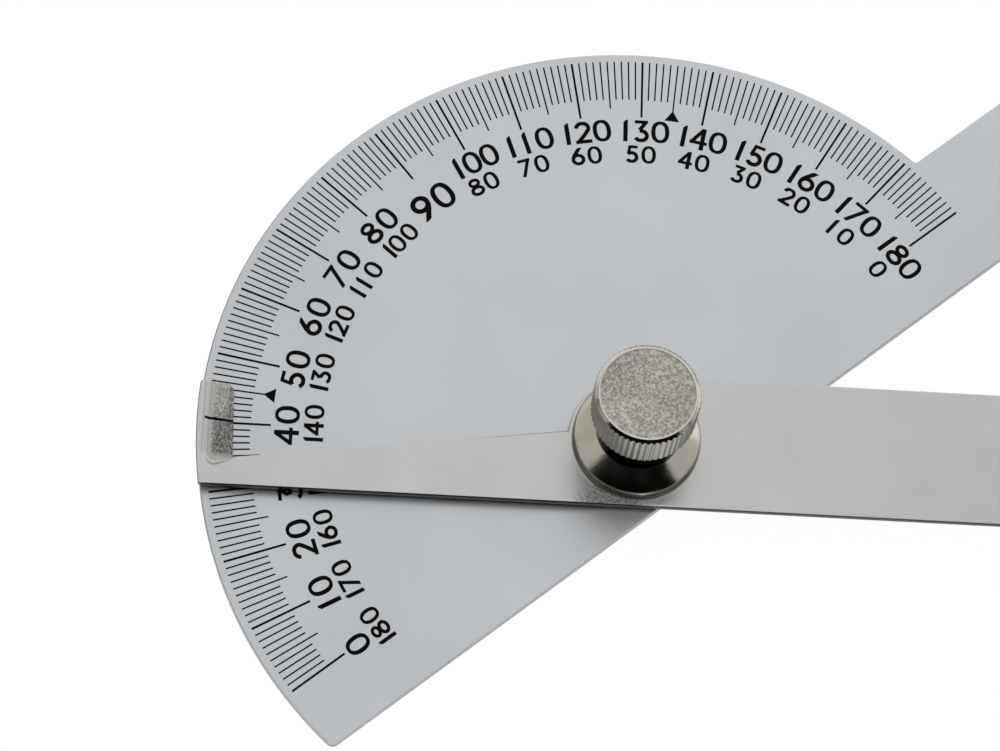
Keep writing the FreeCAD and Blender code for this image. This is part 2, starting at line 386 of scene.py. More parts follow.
def sheetMesh(outline, holes, topOf, bottomOf, roll, burr, extra=None):
    # A sheet between two height functions. Round each loop the wall is a set of rings:
    # inwards by some distance, and down from the top or up from the bottom by another.
    # The last number is the material of the faces above the ring, 1 for the sheared wall.
    lean = 1 - math.sqrt(0.5)
    rings = [(roll, "top", 0.0, 0), (roll * lean, "top", roll * lean, 0), (0.0, "top", roll, 0),
             (0.0, "bottom", burr, 1), (burr * lean, "bottom", burr * lean, 0), (burr, "bottom", 0.0, 0)]
    loops = [outline, *holes]
    inner = [offsetLoop(loop, roll + flatBand) for loop in loops]
    flat, triangles, where = fillShapes([(inner[0], inner[1:])], extra)
    count = len(flat)
    top = np.column_stack([flat, topOf(flat)])
    bottom = np.column_stack([flat, bottomOf(flat)])
    points = [top, bottom]
    faces = triangles.tolist() + (triangles[:, ::-1] + count).tolist()
    kinds = [0] * len(faces)
    total = 2 * count
    for loop, topRing in zip(loops, where):
        previous = topRing
        for inwards, side, off, kind in rings:
            ring = offsetLoop(loop, inwards)
            level = topOf(ring) - off if side == "top" else bottomOf(ring) + off
            points.append(np.column_stack([ring, level]))
            current = np.arange(len(loop)) + total
            total += len(loop)
            faces += bandFaces(previous, current)
            kinds += [kind] * len(loop)
            previous = current
        faces += bandFaces(previous, topRing + count)
        kinds += [0] * len(loop)
    return np.concatenate(points), faces, kinds


def turnedMesh(profile, count, shaped=None, closed=False):
    # A profile of radius and height carried round the pivot axis. shaped may change the
    # radius by angle and height. An open profile starts and ends on the axis, at one point each.
    angles = np.arange(count) * 2 * math.pi / count
    rows = profile if closed else profile[1:-1]
    radius, height = rows[:, :1], rows[:, 1:]
    radius = np.broadcast_to(shaped(angles[None], height, radius) if shaped else radius, (len(rows), count))
    x, y = radius * np.cos(angles), radius * np.sin(angles)
    z = np.broadcast_to(height, x.shape)
    points = np.stack([x, y, z], 2).reshape(-1, 3)
    grid = np.arange(len(rows) * count).reshape(len(rows), count)
    lower = np.roll(grid, -1, 0) if closed else grid[1:]
    upper = grid if closed else grid[:-1]
    quads = np.stack([upper, lower, np.roll(lower, -1, 1), np.roll(upper, -1, 1)], 2).reshape(-1, 4)
    faces = quads.tolist()
    if not closed:
        total = len(points)
        poles = np.array([[0, 0, profile[0, 1]], [0, 0, profile[-1, 1]]])
        points = np.concatenate([points, poles])
        faces += [(total, a, b) for a, b in zip(grid[0].tolist(), np.roll(grid[0], -1).tolist())]
        faces += [(total + 1, b, a) for a, b in zip(grid[-1].tolist(), np.roll(grid[-1], -1).tolist())]
    return points, faces


# Materials

# Stainless sheet with a fine matt chrome finish: an even pale grey, cool, with the
# faintest cloudiness from the blasting and soft reflections.
def satinChromeSheet():
    look = {"colour": "#C9CCCF", "cloud": "#C5C8CC", "roughness": (0.32, 0.37), "cloudSize": 14.0,
            "grain": 0.18, "grainDepth": 0.002}
    material, tree, shader, place = newMaterial("satinChromeSheet")
    cloud = noise(tree, place, look["cloudSize"], 3.0)
    grain = noise(tree, place, look["grain"], 1.0)
    setInputs(tree, shader, {"Base Color": blendColours(tree, cloud, look["colour"], look["cloud"]),
                             "Roughness": spread(tree, cloud, *look["roughness"]),
                             "Normal": relief(tree, grain, look["grainDepth"], 0.3)})
    return material


# Sheared edge of stainless sheet, duller than the faces and slightly rough. The dial's is
# blasted with its faces and stays pale; the arm's is near black: painted shade for its side face in shade.
def shearedEdge(name, colour, dark):
    look = {"roughness": 0.30, "tear": (0.5, 0.5, 0.25), "tearDepth": 0.02}
    material, tree, shader, place = newMaterial(name)
    tear = noise(tree, place, look["tear"], 3.0)
    setInputs(tree, shader, {"Base Color": blendColours(tree, tear, colour, dark),
                             "Roughness": look["roughness"],
                             "Normal": relief(tree, tear, look["tearDepth"], 0.6)})
    return material


# Stainless strip, fine ground along its length: warmer than the dial, with faint lengthwise
# lines and a light grain that shows where it mirrors the nut. In front of the collar lies a
# scuffed patch, scratched and speckled. The pressed pad has a coarse grain across the arm and is
# darker and duller towards the reading edge and below: partly the tone of coining, partly painted shade.
def brushedArmStrip():
    look = {"colour": "#C6C5C4", "cloud": "#C0BFBF", "darkened": "#636160", "roughness": (0.28, 0.30),
            "cloudSize": 9.0, "line": (9.0, 0.09, 9.0), "lineDepth": 0.0015, "grain": 0.15,
            "grainDepth": 0.008, "padGrain": (0.15, 0.30, 0.3), "padDepth": 0.03, "padSpeckle": 0.55}
    scuff = {"at": (-2.3, -6.72, 3.45), "reach": (4.6, 1.6, 4.6), "fade": (0.55, 1.0), "grain": 0.22,
             "grainSpan": (0.45, 0.62), "speckle": 0.8, "depth": 0.12}
    material, tree, shader, place = newMaterial("brushedArmStrip")
    turn = arm["restReading"]
    lines = noise(tree, place, look["line"], 2.0, turn=turn)
    cloud = noise(tree, place, look["cloudSize"], 4.0, 0.6)
    grain = noise(tree, place, look["grain"], 2.0)
    coarse = noise(tree, place, look["padGrain"], 2.0, 0.6, turn)
    scratched = noise(tree, place, scuff["grain"], 3.0, 0.7)
    # the distance from the middle of the patch, as a share of its reach on each axis
    spot = millimetres(tree, place, scuff["reach"], turn)
    middle = tuple(at / reach for at, reach in zip(scuff["at"], scuff["reach"]))
    away = addNode(tree, "ShaderNodeVectorMath", {0: spot, 1: middle}, operation="DISTANCE")
    scuffed = spread(tree, away.outputs["Value"], 1.0, 0.0, scuff["fade"])
    padMask = attribute(tree, "padMask")
    speckle = spread(tree, coarse, -look["padSpeckle"], look["padSpeckle"])
    marred = spread(tree, scratched, 0.0, scuff["speckle"], scuff["grainSpan"])
    dark = combine(tree, "ADD", combine(tree, "MULTIPLY", speckle, padMask),
                   combine(tree, "MULTIPLY", marred, scuffed))
    # the pad's tone values: partly the tone of coining, partly painted shade
    dark = combine(tree, "ADD", dark, attribute(tree, "padToneAndShade"), clamped=True)
    plain = blendColours(tree, spread(tree, cloud, 0.0, 1.0), look["colour"], look["cloud"])
    ground = relief(tree, lines, look["lineDepth"], 0.12)
    ground = relief(tree, grain, look["grainDepth"], under=ground)
    ground = relief(tree, combine(tree, "MULTIPLY", scratched, scuffed), scuff["depth"], under=ground)
    ground = relief(tree, combine(tree, "MULTIPLY", coarse, padMask), look["padDepth"], under=ground)
    setInputs(tree, shader, {"Base Color": blendColours(tree, dark, plain, look["darkened"]),
                             "Roughness": spread(tree, lines, *look["roughness"]),
                             "Normal": ground})
    return material


# Black enamel rubbed into etched marks: deep black with a low sheen.
def blackEnamel():
    look = {"colour": "#070708", "worn": "#0F0F11", "roughness": 0.6, "wear": 0.8, "specular": 0.06}
    material, tree, shader, place = newMaterial("blackEnamel", 0.0)
    wear = noise(tree, place, look["wear"], 2.0)
    setInputs(tree, shader, {"Base Color": blendColours(tree, wear, look["colour"], look["worn"]),
                             "Roughness": look["roughness"], "Specular IOR Level": look["specular"]})
    return material


# Nickel plate on turned brass, polished: a warm grey mirror, a little soft, with faint
# turning rings and small pits that break up the edges of what it mirrors. Given a shade colour, the
# points' painted shade values darken it: painted shade. A tint below 1 dulls what it mirrors at a grazing
# angle.
def polishedNickel(name, colour, roughness, paintedShade=None, tint=1.0):
    look = {"ring": 0.16, "ringDepth": 0.0006, "cloudSize": 2.2, "pit": 0.24, "pitDepth": 0.012}
    material, tree, shader, place = newMaterial(name)
    cloud = noise(tree, place, look["cloudSize"], 3.0)
    pits = noise(tree, place, look["pit"], 3.0)
    rings = relief(tree, turningRings(tree, place, look["ring"], 0.2), look["ringDepth"], 0.5)
    plain = linear(colour)
    setInputs(tree, shader, {
        "Base Color": blendColours(tree, attribute(tree, "paintedShade"), colour, paintedShade) if paintedShade else plain,
        "Roughness": spread(tree, cloud, roughness * 0.8, roughness * 1.3),
        "Specular Tint": (tint, tint, tint, 1.0),
        "Normal": relief(tree, pits, look["pitDepth"], 0.7, rings)})
    return material


# The nut's end is faced on a lathe and then plated: fine circular grooves that spread light in two
# opposite wedges, and small pits whose sparkle is partly their bumps and partly painted light and dark
# specks.
def turnedNickelFace():
    look = {"colour": "#E6E3DA", "dark": "#A29F96", "roughness": 0.46, "anisotropic": 0.94,
            "groove": 0.11, "grooveDepth": 0.004, "pit": 0.28, "pitSpan": (0.38, 0.62), "pitDepth": 0.07}
    material, tree, shader, place = newMaterial("turnedNickelFace")
    grain = noise(tree, place, look["pit"], 3.0, 0.65)
    # painted light: light and dark specks in the colour, over the pits' real bumps
    sparkle = spread(tree, grain, 0.0, 1.0, look["pitSpan"])
    grooves = relief(tree, turningRings(tree, place, look["groove"], 1.5), look["grooveDepth"], 0.4)
    outwards = addNode(tree, "ShaderNodeVectorMath", {0: place, 1: (1.0, 1.0, 0.0)}, operation="MULTIPLY")
    setInputs(tree, shader, {"Base Color": blendColours(tree, sparkle, look["dark"], look["colour"]),
                             "Roughness": look["roughness"], "Anisotropic": look["anisotropic"],
                             "Tangent": outwards.outputs[0],
                             "Normal": relief(tree, grain, look["pitDepth"], under=grooves)})
    return material


# Turned steel or brass with the marks of the tool, for the pieces under the collar.
def turnedMetal(name, colour, shade, roughness):
    look = {"ring": 0.2, "ringDepth": 0.003, "cloudSize": 1.5, "duller": 0.1}
    material, tree, shader, place = newMaterial(name)
    cloud = noise(tree, place, look["cloudSize"], 3.0)
    rings = turningRings(tree, place, look["ring"], 0.6)
    setInputs(tree, shader, {"Base Color": blendColours(tree, cloud, colour, shade),
                             "Roughness": spread(tree, cloud, roughness, roughness + look["duller"]),
                             "Normal": relief(tree, rings, look["ringDepth"], 0.5)})
    return material


satin = satinChromeSheet()
paleEdge = shearedEdge("blastedSheetEdge", "#9A9C9F", "#808285")
# painted shade: the arm's edge near black, for its side that stands in shade
darkEdge = shearedEdge("paintedShadeStripEdge", "#1C1D1E", "#111213")
strip = brushedArmStrip()
enamel = blackEnamel()
print("sheet materials made")


# Dial plate

def flatAt(height):
    return lambda points: np.full(len(points), height)


def roundHole(x, radius, count=48):
    return arcPoints((x, 0), radius, 360, 360 / count, count)


def dialOutline():
    rim, half = dial["radius"], dial["armWidth"] / 2
    lowCentre = rimCentre(rim, -half, dial["lowCornerRadius"], -1)
    neckCentre = rimCentre(rim, half, dial["neckRadius"], 1, outside=True)
    end = dial["armLength"]
    low = [end, -half]
    high = [end, half]
    neckAngle = angleOf(neckCentre)
    lowAngle = angleOf(lowCentre)
    return np.concatenate([
        arcPoints((0, 0), rim, neckAngle, lowAngle, 260)[:-1],
        arcPoints(lowCentre, dial["lowCornerRadius"], lowAngle, 270, 9),
        roundCorner([0, -half], low, high, dial["endRadius"]),
        roundCorner(low, high, [0, half], dial["endRadius"]),
        arcPoints(neckCentre, dial["neckRadius"], 270, 180 + neckAngle, 9)[:-1],
    ])


half = dial["squareHole"] / 2
square = [(-half, half), (half, half), (half, -half), (-half, -half)]
squareHole = np.concatenate([
    roundCorner(square[k - 1], square[k], square[(k + 1) % 4], dial["squareCorner"], 4)
    for k in (1, 2, 3, 0)])
plateHoles = [squareHole, roundHole(dial["hangHoleAt"], dial["hangHoleRadius"])]
points, faces, kinds = sheetMesh(dialOutline(), plateHoles, flatAt(dial["top"]), flatAt(dial["bottom"]),
                                 dial["dieRoll"], dial["burrSide"])
meshObject("dialSheet", points, faces, "dial", [satin, paleEdge], kinds,
           replaced=("dial_plate",))
print("dial sheet:", len(faces), "faces")


# Rotating arm

def padDistances(points):
    # distance in from the rim, and up from the lower end, in the arm's own frame
    x, y = points[:, 0], points[:, 1]
    fromRim = x - pad["rim"]
    foot = pad["rim"] + pad["cornerRadius"]
    slope = (pad["lowEndAtEdge"] - pad["lowEnd"]) / (arm["readingEdge"] - foot)
    fromEnd = y - (pad["lowEnd"] + slope * np.clip(x - foot, 0, None))
    return fromRim, fromEnd


def cornerDistance(fromRim, fromEnd, radius):
    # a rounded corner: the distance inside both sides, measured round a quarter circle
    qx, qy = radius - fromRim, radius - fromEnd
    return radius - np.hypot(np.maximum(qx, 0), np.maximum(qy, 0)) - np.minimum(np.maximum(qx, qy), 0)


def alongPad(points, atRim, atEdge):
    share = (points[:, 0] - pad["rim"]) / (arm["readingEdge"] - pad["rim"])
    return atRim + (atEdge - atRim) * np.clip(share, 0, 1)


def padShare(points):
    # The wall at the rim is steep. The one at the lower end is a ramp that narrows
    # towards the reading edge.
    fromRim, fromEnd = padDistances(points)
    wall = pad["wallOut"] + pad["wallIn"]
    ramp = alongPad(points, pad["lowRamp"], pad["lowRampAtEdge"])
    low = (fromEnd + pad["wallOut"]) * wall / ramp - pad["wallOut"]
    inside = cornerDistance(fromRim, low, pad["cornerRadius"])
    return easeIn(inside, -pad["wallOut"], wall) * (points[:, 0] < arm["readingEdge"] + pad["pastEdge"])


def armTop(points):
    share = padShare(points)
    return arm["top"] * (1 - share) + alongPad(points, pad["floorAtRim"], pad["floorAtEdge"]) * share


def armUnder(points):
    share = padShare(points)
    return arm["bottom"] * (1 - share) + alongPad(points, arm["bottom"], pad["underAtEdge"]) * share


def armOutline():
    rim, half = arm["rim"], dial["armWidth"] / 2
    inner = arm["readingEdge"]
    edgeHeight = arm["tipWidth"] - half
    slope = (edgeHeight - arm["rootHeight"]) / inner
    a, b, c = 1 + slope ** 2, 2 * slope * arm["rootHeight"], arm["rootHeight"] ** 2 - half ** 2
    bossX = (-b - math.sqrt(b * b - 4 * a * c)) / (2 * a)
    boss = [bossX, arm["rootHeight"] + slope * bossX]
    tabInner = [inner - arm["edgeSlant"], arm["tabHeight"]]
    tipCorner = [inner, edgeHeight]
    tabCentre = rimCentre(rim, arm["tabHeight"], arm["tabRimRadius"], -1)
    low, end = arm["lowEdge"], arm["length"]
    tipCentre = rimCentre(rim, low, arm["tipRadius"], -1)
    return np.concatenate([
        roundCorner([0, low], [end, low], [end, half], dial["endRadius"]),
        roundCorner([end, low], [end, half], [0, half], dial["endRadius"]),
        arcPoints((0, 0), half, 90, angleOf(boss), 26),
        roundCorner(boss, tipCorner, tabInner, arm["tipRadius"], 6),
        roundCorner(tipCorner, tabInner, [-rim, arm["tabHeight"]], arm["tabRadius"], 8),
        arcPoints(tabCentre, arm["tabRimRadius"], 90, angleOf(tabCentre), 7)[:-1],
        arcPoints((0, 0), rim, angleOf(tabCentre), angleOf(tipCentre), 60)[:-1],
        arcPoints(tipCentre, arm["tipRadius"], angleOf(tipCentre), 270, 7),
    ])


def turnedToRest(points):
    # the arm's own frame turned clockwise to its rest reading
    turn = math.radians(arm["restReading"])
    x, y = points[:, 0], points[:, 1]
    spun = np.array(points, float)
    spun[:, 0] = x * math.cos(turn) + y * math.sin(turn)
    spun[:, 1] = y * math.cos(turn) - x * math.sin(turn)
    return spun


outline = finerLoop(armOutline(), pad["outlineStep"], pad["outlineReach"])
step = pad["gridStep"]
grid = np.meshgrid(np.arange(*pad["gridX"], step), np.arange(*pad["gridY"], step), indexing="ij")
padPoints = np.stack([axis.ravel() + step * shift for axis, shift in zip(grid, pad["gridShift"])], 1)
margin = arm["dieRoll"] + flatBand + step * pad["gridMargin"]
padPoints = padPoints[insideLoop(padPoints, offsetLoop(outline, margin))]
armHoles = [roundHole(0, arm["boreRadius"]), roundHole(dial["hangHoleAt"], dial["hangHoleRadius"])]
points, faces, kinds = sheetMesh(outline, armHoles, armTop, armUnder, arm["dieRoll"], arm["burrSide"],
                                 padPoints)
fromRim, fromEnd = padDistances(points)
armSheet = meshObject("armSheet", turnedToRest(points), faces, "arm", [strip, darkEdge],
                      kinds, replaced=("rotating_arm",))

# Tone of the pad from the wall to the reading edge, pale above and dark below: partly the tone of
# coining, partly painted shade. A pair is where a change begins and how far it takes, in from the rim
# or, for the last three, upwards.
padShadeTone = {"wall": 0.1, "wallAt": (0.0, 0.3), "upper": 0.17, "upperAt": (0.6, 0.4), "inner": 0.32,
        "innerAt": (1.8, 0.7), "lower": 0.66, "lowerAt": (0.45, 0.6), "grainAt": (0.35, 0.5),
        "foot": (-4.2, 0.8), "middle": (-1.0, 3.2), "head": (3.4, 0.8), "beyond": 0.05, "lowest": 2.3}
upward = points[:, 1]
onPad = (fromRim > 0) & (fromEnd > 0) & (points[:, 2] > padShadeTone["lowest"])
onPad &= points[:, 0] < arm["readingEdge"] + padShadeTone["beyond"]
footFade = easeIn(upward, *padShadeTone["foot"]) * onPad
upper = padShadeTone["upper"] * easeIn(fromRim, *padShadeTone["upperAt"]) + padShadeTone["inner"] * easeIn(fromRim, *padShadeTone["innerAt"])
upper *= 1 - easeIn(upward, *padShadeTone["head"])
lower = padShadeTone["lower"] * easeIn(fromRim, *padShadeTone["lowerAt"])
raised = easeIn(upward, *padShadeTone["middle"])
tone = padShadeTone["wall"] * easeIn(fromRim, *padShadeTone["wallAt"]) + upper * raised + lower * (1 - raised)
storeValues(armSheet, "padMask", easeIn(fromRim, *padShadeTone["grainAt"]) * footFade)
storeValues(armSheet, "padToneAndShade", tone * footFade)
print("arm sheet:", len(faces), "faces")


def indexLine():
    # a strip that lies on the pad: sections across it, carried along the pad
    line = {"start": pad["rim"] - 0.1, "width": 0.27, "steps": 30}
    end = arm["readingEdge"] - arm["edgeSlant"] / 2
    s = np.linspace(line["start"], end, line["steps"])
    across = np.array([-0.5, 0.5, 0.5, -0.5]) * line["width"]
    lift = np.array([fill["above"], fill["above"], -fill["below"], -fill["below"]])
    flat = np.stack([np.repeat(s, 4), np.tile(across, len(s))], 1)
    height = armTop(flat) + np.tile(lift, len(s))
    points = np.column_stack([flat, height])
    grid = np.arange(len(points)).reshape(len(s), 4)
    side = np.roll(grid, -1, 1)
    faces = np.stack([grid[:-1], grid[1:], side[1:], side[:-1]], 2).reshape(-1, 4).tolist()
    faces += [grid[0].tolist(), grid[-1][::-1].tolist()]
    return turnedToRest(points), faces


points, faces = indexLine()
meshObject("indexLine", points, faces, "arm", [enamel], replaced=("index_mark",))


# Scale marks

marks = {"outer": 44.15, "fine": 0.155, "bold": 0.23, "one": 4.52, "five": 5.58, "ten": 6.58,
         "arrowBase": 1.58, "arrowHeight": 1.22, "arrowTip": 38.65, "arrows": (45, 135)}


def flatPieces(name, outlines, replaced):
    # Thin solids on the dial, from outlines of three or four points. Each outline is a
    # reading and its points, outwards and then sideways, and is turned to that reading.
    points, faces, total = [], [], 0
    for reading, outline in outlines:
        angle = math.radians(180 - reading)
        outwards = np.array([math.cos(angle), math.sin(angle)])
        sideways = np.array([-math.sin(angle), math.cos(angle)])
        flat = np.array([x * outwards + y * sideways for x, y in outline])
        count = len(flat)
        points += [np.column_stack([flat, np.full(count, dial["top"] + fill["above"])]),
                   np.column_stack([flat, np.full(count, dial["top"] - fill["below"])])]
        upper = [total + k for k in range(count)]
        lower = [k + count for k in upper]
        faces += [upper, lower[::-1]]
        faces += [[lower[k], lower[(k + 1) % count], upper[(k + 1) % count], upper[k]] for k in range(count)]
        total += 2 * count
    meshObject(name, np.concatenate(points), faces, "dial", [enamel], replaced=(replaced,))


def markOutline(reading):
    length = marks["ten"] if reading % 10 == 0 else marks["five"] if reading % 5 == 0 else marks["one"]
    side = (marks["bold"] if reading % 10 == 0 else marks["fine"]) / 2
    inner, outer = marks["outer"] - length, marks["outer"]
    return reading, [(outer, -side), (outer, side), (inner, side), (inner, -side)]


def arrowOutline(reading):
    tip = marks["arrowTip"]
    base, side = tip - marks["arrowHeight"], marks["arrowBase"] / 2
    return reading, [(tip, 0), (base, side), (base, -side)]


flatPieces("oneDegreeMarks", [markOutline(reading) for reading in range(181) if reading % 5], "degree_marks")
flatPieces("fiveDegreeMarks", [markOutline(reading) for reading in range(5, 180, 10)], "five_degree_marks")
flatPieces("tenDegreeMarks", [markOutline(reading) for reading in range(0, 181, 10)], "ten_degree_marks")
flatPieces("scaleArrows", [arrowOutline(reading) for reading in marks["arrows"]], "dial_arrows")


# Numerals

numerals = {
    "height": 2.44,
    "outer": {"centre": 35.91, "scale": 1.05, "heavier": 0.035, "two": (-1.1, 1.22), "ten": (-1.07, 0.95),
              "three": (-1.68, 0.0, 2.05)},
    "inner": {"centre": 33.15, "scale": 0.84, "heavier": 0.07, "two": (-0.95, 0.85), "ten": (-0.95, 0.85),
              "three": (-1.33, -0.11, 1.70)},
    "ninety": {"centre": 34.2, "scale": 1.24, "heavier": 0.04, "two": (-1.22, 1.40)},
}


def ringLoops(centre, outer, inner, power=2.0, count=40):
    # a closed band between two superellipses
    angles = np.arange(count) * 2 * math.pi / count
    unit = np.stack([np.cos(angles), np.sin(angles)], 1)
    unit = np.sign(unit) * np.abs(unit) ** (2 / power)
    return (unit * outer + centre, [unit * inner + centre])


def strokeLoop(path, width):
    # a centre line widened to both sides along its normals
    path = np.array(path, float)
    along = np.gradient(path, axis=0)
    along /= np.linalg.norm(along, axis=1)[:, None]
    normal = np.stack([-along[:, 1], along[:, 0]], 1) * width / 2
    return (np.concatenate([path + normal, (path - normal)[::-1]]), [])


def barLoop(x0, x1, y0, y1):
    return (np.array([[x0, y0], [x1, y0], [x1, y1], [x0, y1]], float), [])


def digitShapes(h):
    # h widens every stroke and narrows every hole
    six = [
        ringLoops((0, -0.41), (0.88, 0.81), (0.46 - h / 2, 0.41 - h / 2)),
        strokeLoop([(0.42, 1.36), (0.14, 0.97), (-0.14, 0.6), (-0.45, 0.18), (-0.64, -0.2)], 0.42 + h),
    ]
    shapes = {
        "0": [ringLoops((0, 0), (0.93, 1.22), (0.51 - h / 2, 0.9 - h / 2), 2.3)],
        "1": [(np.array([(-0.21 - h / 2, -1.22), (0.21 + h / 2, -1.22), (0.21 + h / 2, 1.22), (0.05, 1.22),
                         (-0.21 - h / 2, 0.95)]), [])],
        "2": [
            strokeLoop([*arcPoints((0, 0.5), (0.62, 0.54), 178, -28, 22), (0.2, -0.2), (-0.56, -1.02)],
                       0.38 + h),
            barLoop(-0.84, 0.82, -1.22, -0.87 + h),
        ],
        "3": [
            barLoop(-0.67, 0.68, 0.9 - h, 1.22),
            strokeLoop([(0.5, 1.06), (-0.16, 0.14)], 0.36 + h),
            strokeLoop(arcPoints((-0.02, -0.5), (0.62, 0.54), 104, -152, 28), 0.38 + h),
        ],
        "4": [
            barLoop(0.15 - h / 2, 0.57 + h / 2, -1.22, 1.22),
            strokeLoop([(0.32, 1.12), (-0.74, -0.42)], 0.36 + h),
            barLoop(-0.93, 0.88, -0.58 - h / 2, -0.26 + h / 2),
        ],
        "5": [
            barLoop(-0.42, 0.72, 0.9 - h, 1.22),
            strokeLoop([(-0.26, 1.12), (-0.42, 0.1)], 0.34 + h),
            strokeLoop(arcPoints((-0.02, -0.42), (0.64, 0.60), 140, -150, 28), 0.4 + h),
        ],
        "6": six,
        "7": [
            barLoop(-0.8, 0.8, 0.9 - h, 1.22),
            strokeLoop([(0.66, 1.3), (-0.5, -1.3)], 0.44 + h),
        ],
        "8": [
            ringLoops((0, 0.6), (0.78, 0.63), (0.4 - h / 2, 0.25 - h / 3)),
            ringLoops((0, -0.52), (0.92, 0.71), (0.5 - h / 2, 0.31 - h / 3)),
        ],
        "9": [(-outer, [-hole for hole in holes]) for outer, holes in six],
    }
    half = numerals["height"] / 2
    for parts in shapes.values():
        for outer, _ in parts:
            outer[:, 1] = np.clip(outer[:, 1], -half, half)
    return shapes


def digitSolids(heavier):
    # each digit as a thin closed solid: filled top, its copy below, and a wall between
    solids = {}
    for digit, shapes in digitShapes(heavier).items():
        flat, triangles, _ = fillShapes(shapes)
        used, renumbered = np.unique(triangles, return_inverse=True)
        flat, triangles = flat[used], renumbered.reshape(-1, 3)
        rim = openEdges(triangles)
        count = len(flat)
        walls = np.stack([rim[:, 0], rim[:, 0] + count, rim[:, 1] + count, rim[:, 1]], 1)
        solids[digit] = (flat, triangles.tolist(), (triangles[:, ::-1] + count).tolist(), walls.tolist())
    return solids


def placeNumbers(name, numbers, ring):
    # Every number stands upright with its top outwards, its centre on a circle round the pivot.
    points, faces, total = [], [], 0
    digits = digitSolids(ring["heavier"])
    low, high = dial["top"] - fill["below"], dial["top"] + fill["above"]
    for reading, text in numbers:
        angle = math.radians(180 - reading)
        outwards = np.array([math.cos(angle), math.sin(angle)])
        rightwards = np.array([math.sin(angle), -math.cos(angle)])
        slots = {1: (0.0,), 2: ring["two"], 3: ring.get("three")}[len(text)]
        if text == "10":
            slots = ring["ten"]
        for digit, slot in zip(text, slots):
            flat, top, bottom, walls = digits[digit]
            x = flat[:, :1] * ring["scale"] + slot
            y = flat[:, 1:] * ring["scale"] + ring["centre"]
            here = x * rightwards + y * outwards
            points += [np.column_stack([here, np.full(len(flat), high)]),
                       np.column_stack([here, np.full(len(flat), low)])]
            for group in (top, bottom, walls):
                faces += [[k + total for k in face] for face in group]
            total += 2 * len(flat)
    meshObject(name, np.concatenate(points), faces, "dial", [enamel])


tens = [reading for reading in range(0, 181, 10) if reading != 90]
placeNumbers("outerNumerals", [(reading, str(reading)) for reading in tens], numerals["outer"])
placeNumbers("innerNumerals", [(reading, str(180 - reading)) for reading in tens], numerals["inner"])
placeNumbers("ninetyNumeral", [(90, "90")], numerals["ninety"])
print("numerals placed")


# Collar

collar = {"bore": 2.05, "flange": 6.65, "edge": 6.5, "topRadius": 4.45, "bottom": 3.5, "rimTop": 4.8,
          "top": 6.5, "recess": 4.45, "recessTop": 3.85, "foot": 0.25, "segments": 192, "swell": 0.22,
          "rimCorner": 0.03, "groove": (0.11, 0.075, 0.04, 0.02), "grooveDepth": 0.035}
# Painted shade on it: a dark line in the crease beside the edge, and a darker rim that stands in for the
# dark it mirrors
paintedShades = {"creaseIn": 0.03, "creaseHalf": 0.02, "creaseDown": 0.12, "rim": 0.75, "rimDown": 0.1}


def collarProfile():
    # from the top down a straight cone to the edge, down the rim, under it and up the bore
    flange, foot, bottom = collar["flange"], collar["foot"], collar["bottom"]
    top = np.array([collar["topRadius"], collar["top"]])
    corner = np.array([collar["edge"], collar["rimTop"]])
    downSlope = (corner - top) / np.linalg.norm(corner - top)
    outSlope = np.array([-downSlope[1], downSlope[0]])
    # a fine groove just before the edge, where the polishing stopped
    depths = (0.0, collar["grooveDepth"], collar["grooveDepth"], 0.0)
    groove = [corner - downSlope * away - outSlope * depth for away, depth in zip(collar["groove"], depths)]
    rim = roundCorner(groove[-1], corner, [flange, bottom + foot], collar["rimCorner"], 4)
    along = np.append(np.linspace(0, 0.95, 20), 0.99)[:, None]
    cone = top + (groove[0] - top) * along + outSlope * collar["swell"] * along ** 2 * (1 - along)
    wall = rim[-1] + (np.array([flange, bottom + foot]) - rim[-1]) * np.array([[0.02], [0.2], [0.5], [0.8]])
    under = arcPoints((flange - foot, bottom + foot), foot, 0, -90, 8)
    inside = [[collar["recess"], bottom], [collar["recess"], collar["recessTop"]],
              [collar["bore"], collar["recessTop"]], [collar["bore"], collar["top"]]]
    return np.concatenate([cone, groove, rim, wall, under, inside])


# the last colour is the painted shade's, for the crease line and the rim
mirror = polishedNickel("polishedNickelCollar", "#D6D3CA", 0.18, "#302F2C")
points, faces = turnedMesh(collarProfile(), collar["segments"], closed=True)
flared = meshObject("flaredCollar", points, faces, "clamp", [mirror],
                    replaced=("clamp_collar",))
radii = np.hypot(points[:, 0], points[:, 1])
# painted shade: a thin line in the crease beside the edge, and the rim below its top
past, down = radii - collar["edge"], collar["rimTop"] - points[:, 2]
crease = (np.abs(past + paintedShades["creaseIn"]) < paintedShades["creaseHalf"]) & (down < paintedShades["creaseDown"])
rimShade = (past > 0) & (down > paintedShades["rimDown"])
storeValues(flared, "paintedShade", np.maximum(1.0 * crease, paintedShades["rim"] * rimShade))


# Thumb nut

nut = {"bottom": 6.5, "top": 16.2, "radius": 5.4, "foot": 4.45, "body": 5.05, "edge": 0.06,
       "knurlBottom": 11.28, "knurlTop": 15.78, "teeth": 56, "toothDepth": 0.12,
       "ring": 4.99, "face": 4.80, "faceStep": 0.07, "faceDepth": 0.4, "dish": 0.14, "bore": 2.05,
       "boreTop": 13.7, "lip": 0.02, "bandTop": 0.1, "step": 0.12, "undercut": 0.04, "shoulder": 0.03,
       "perTooth": 10}


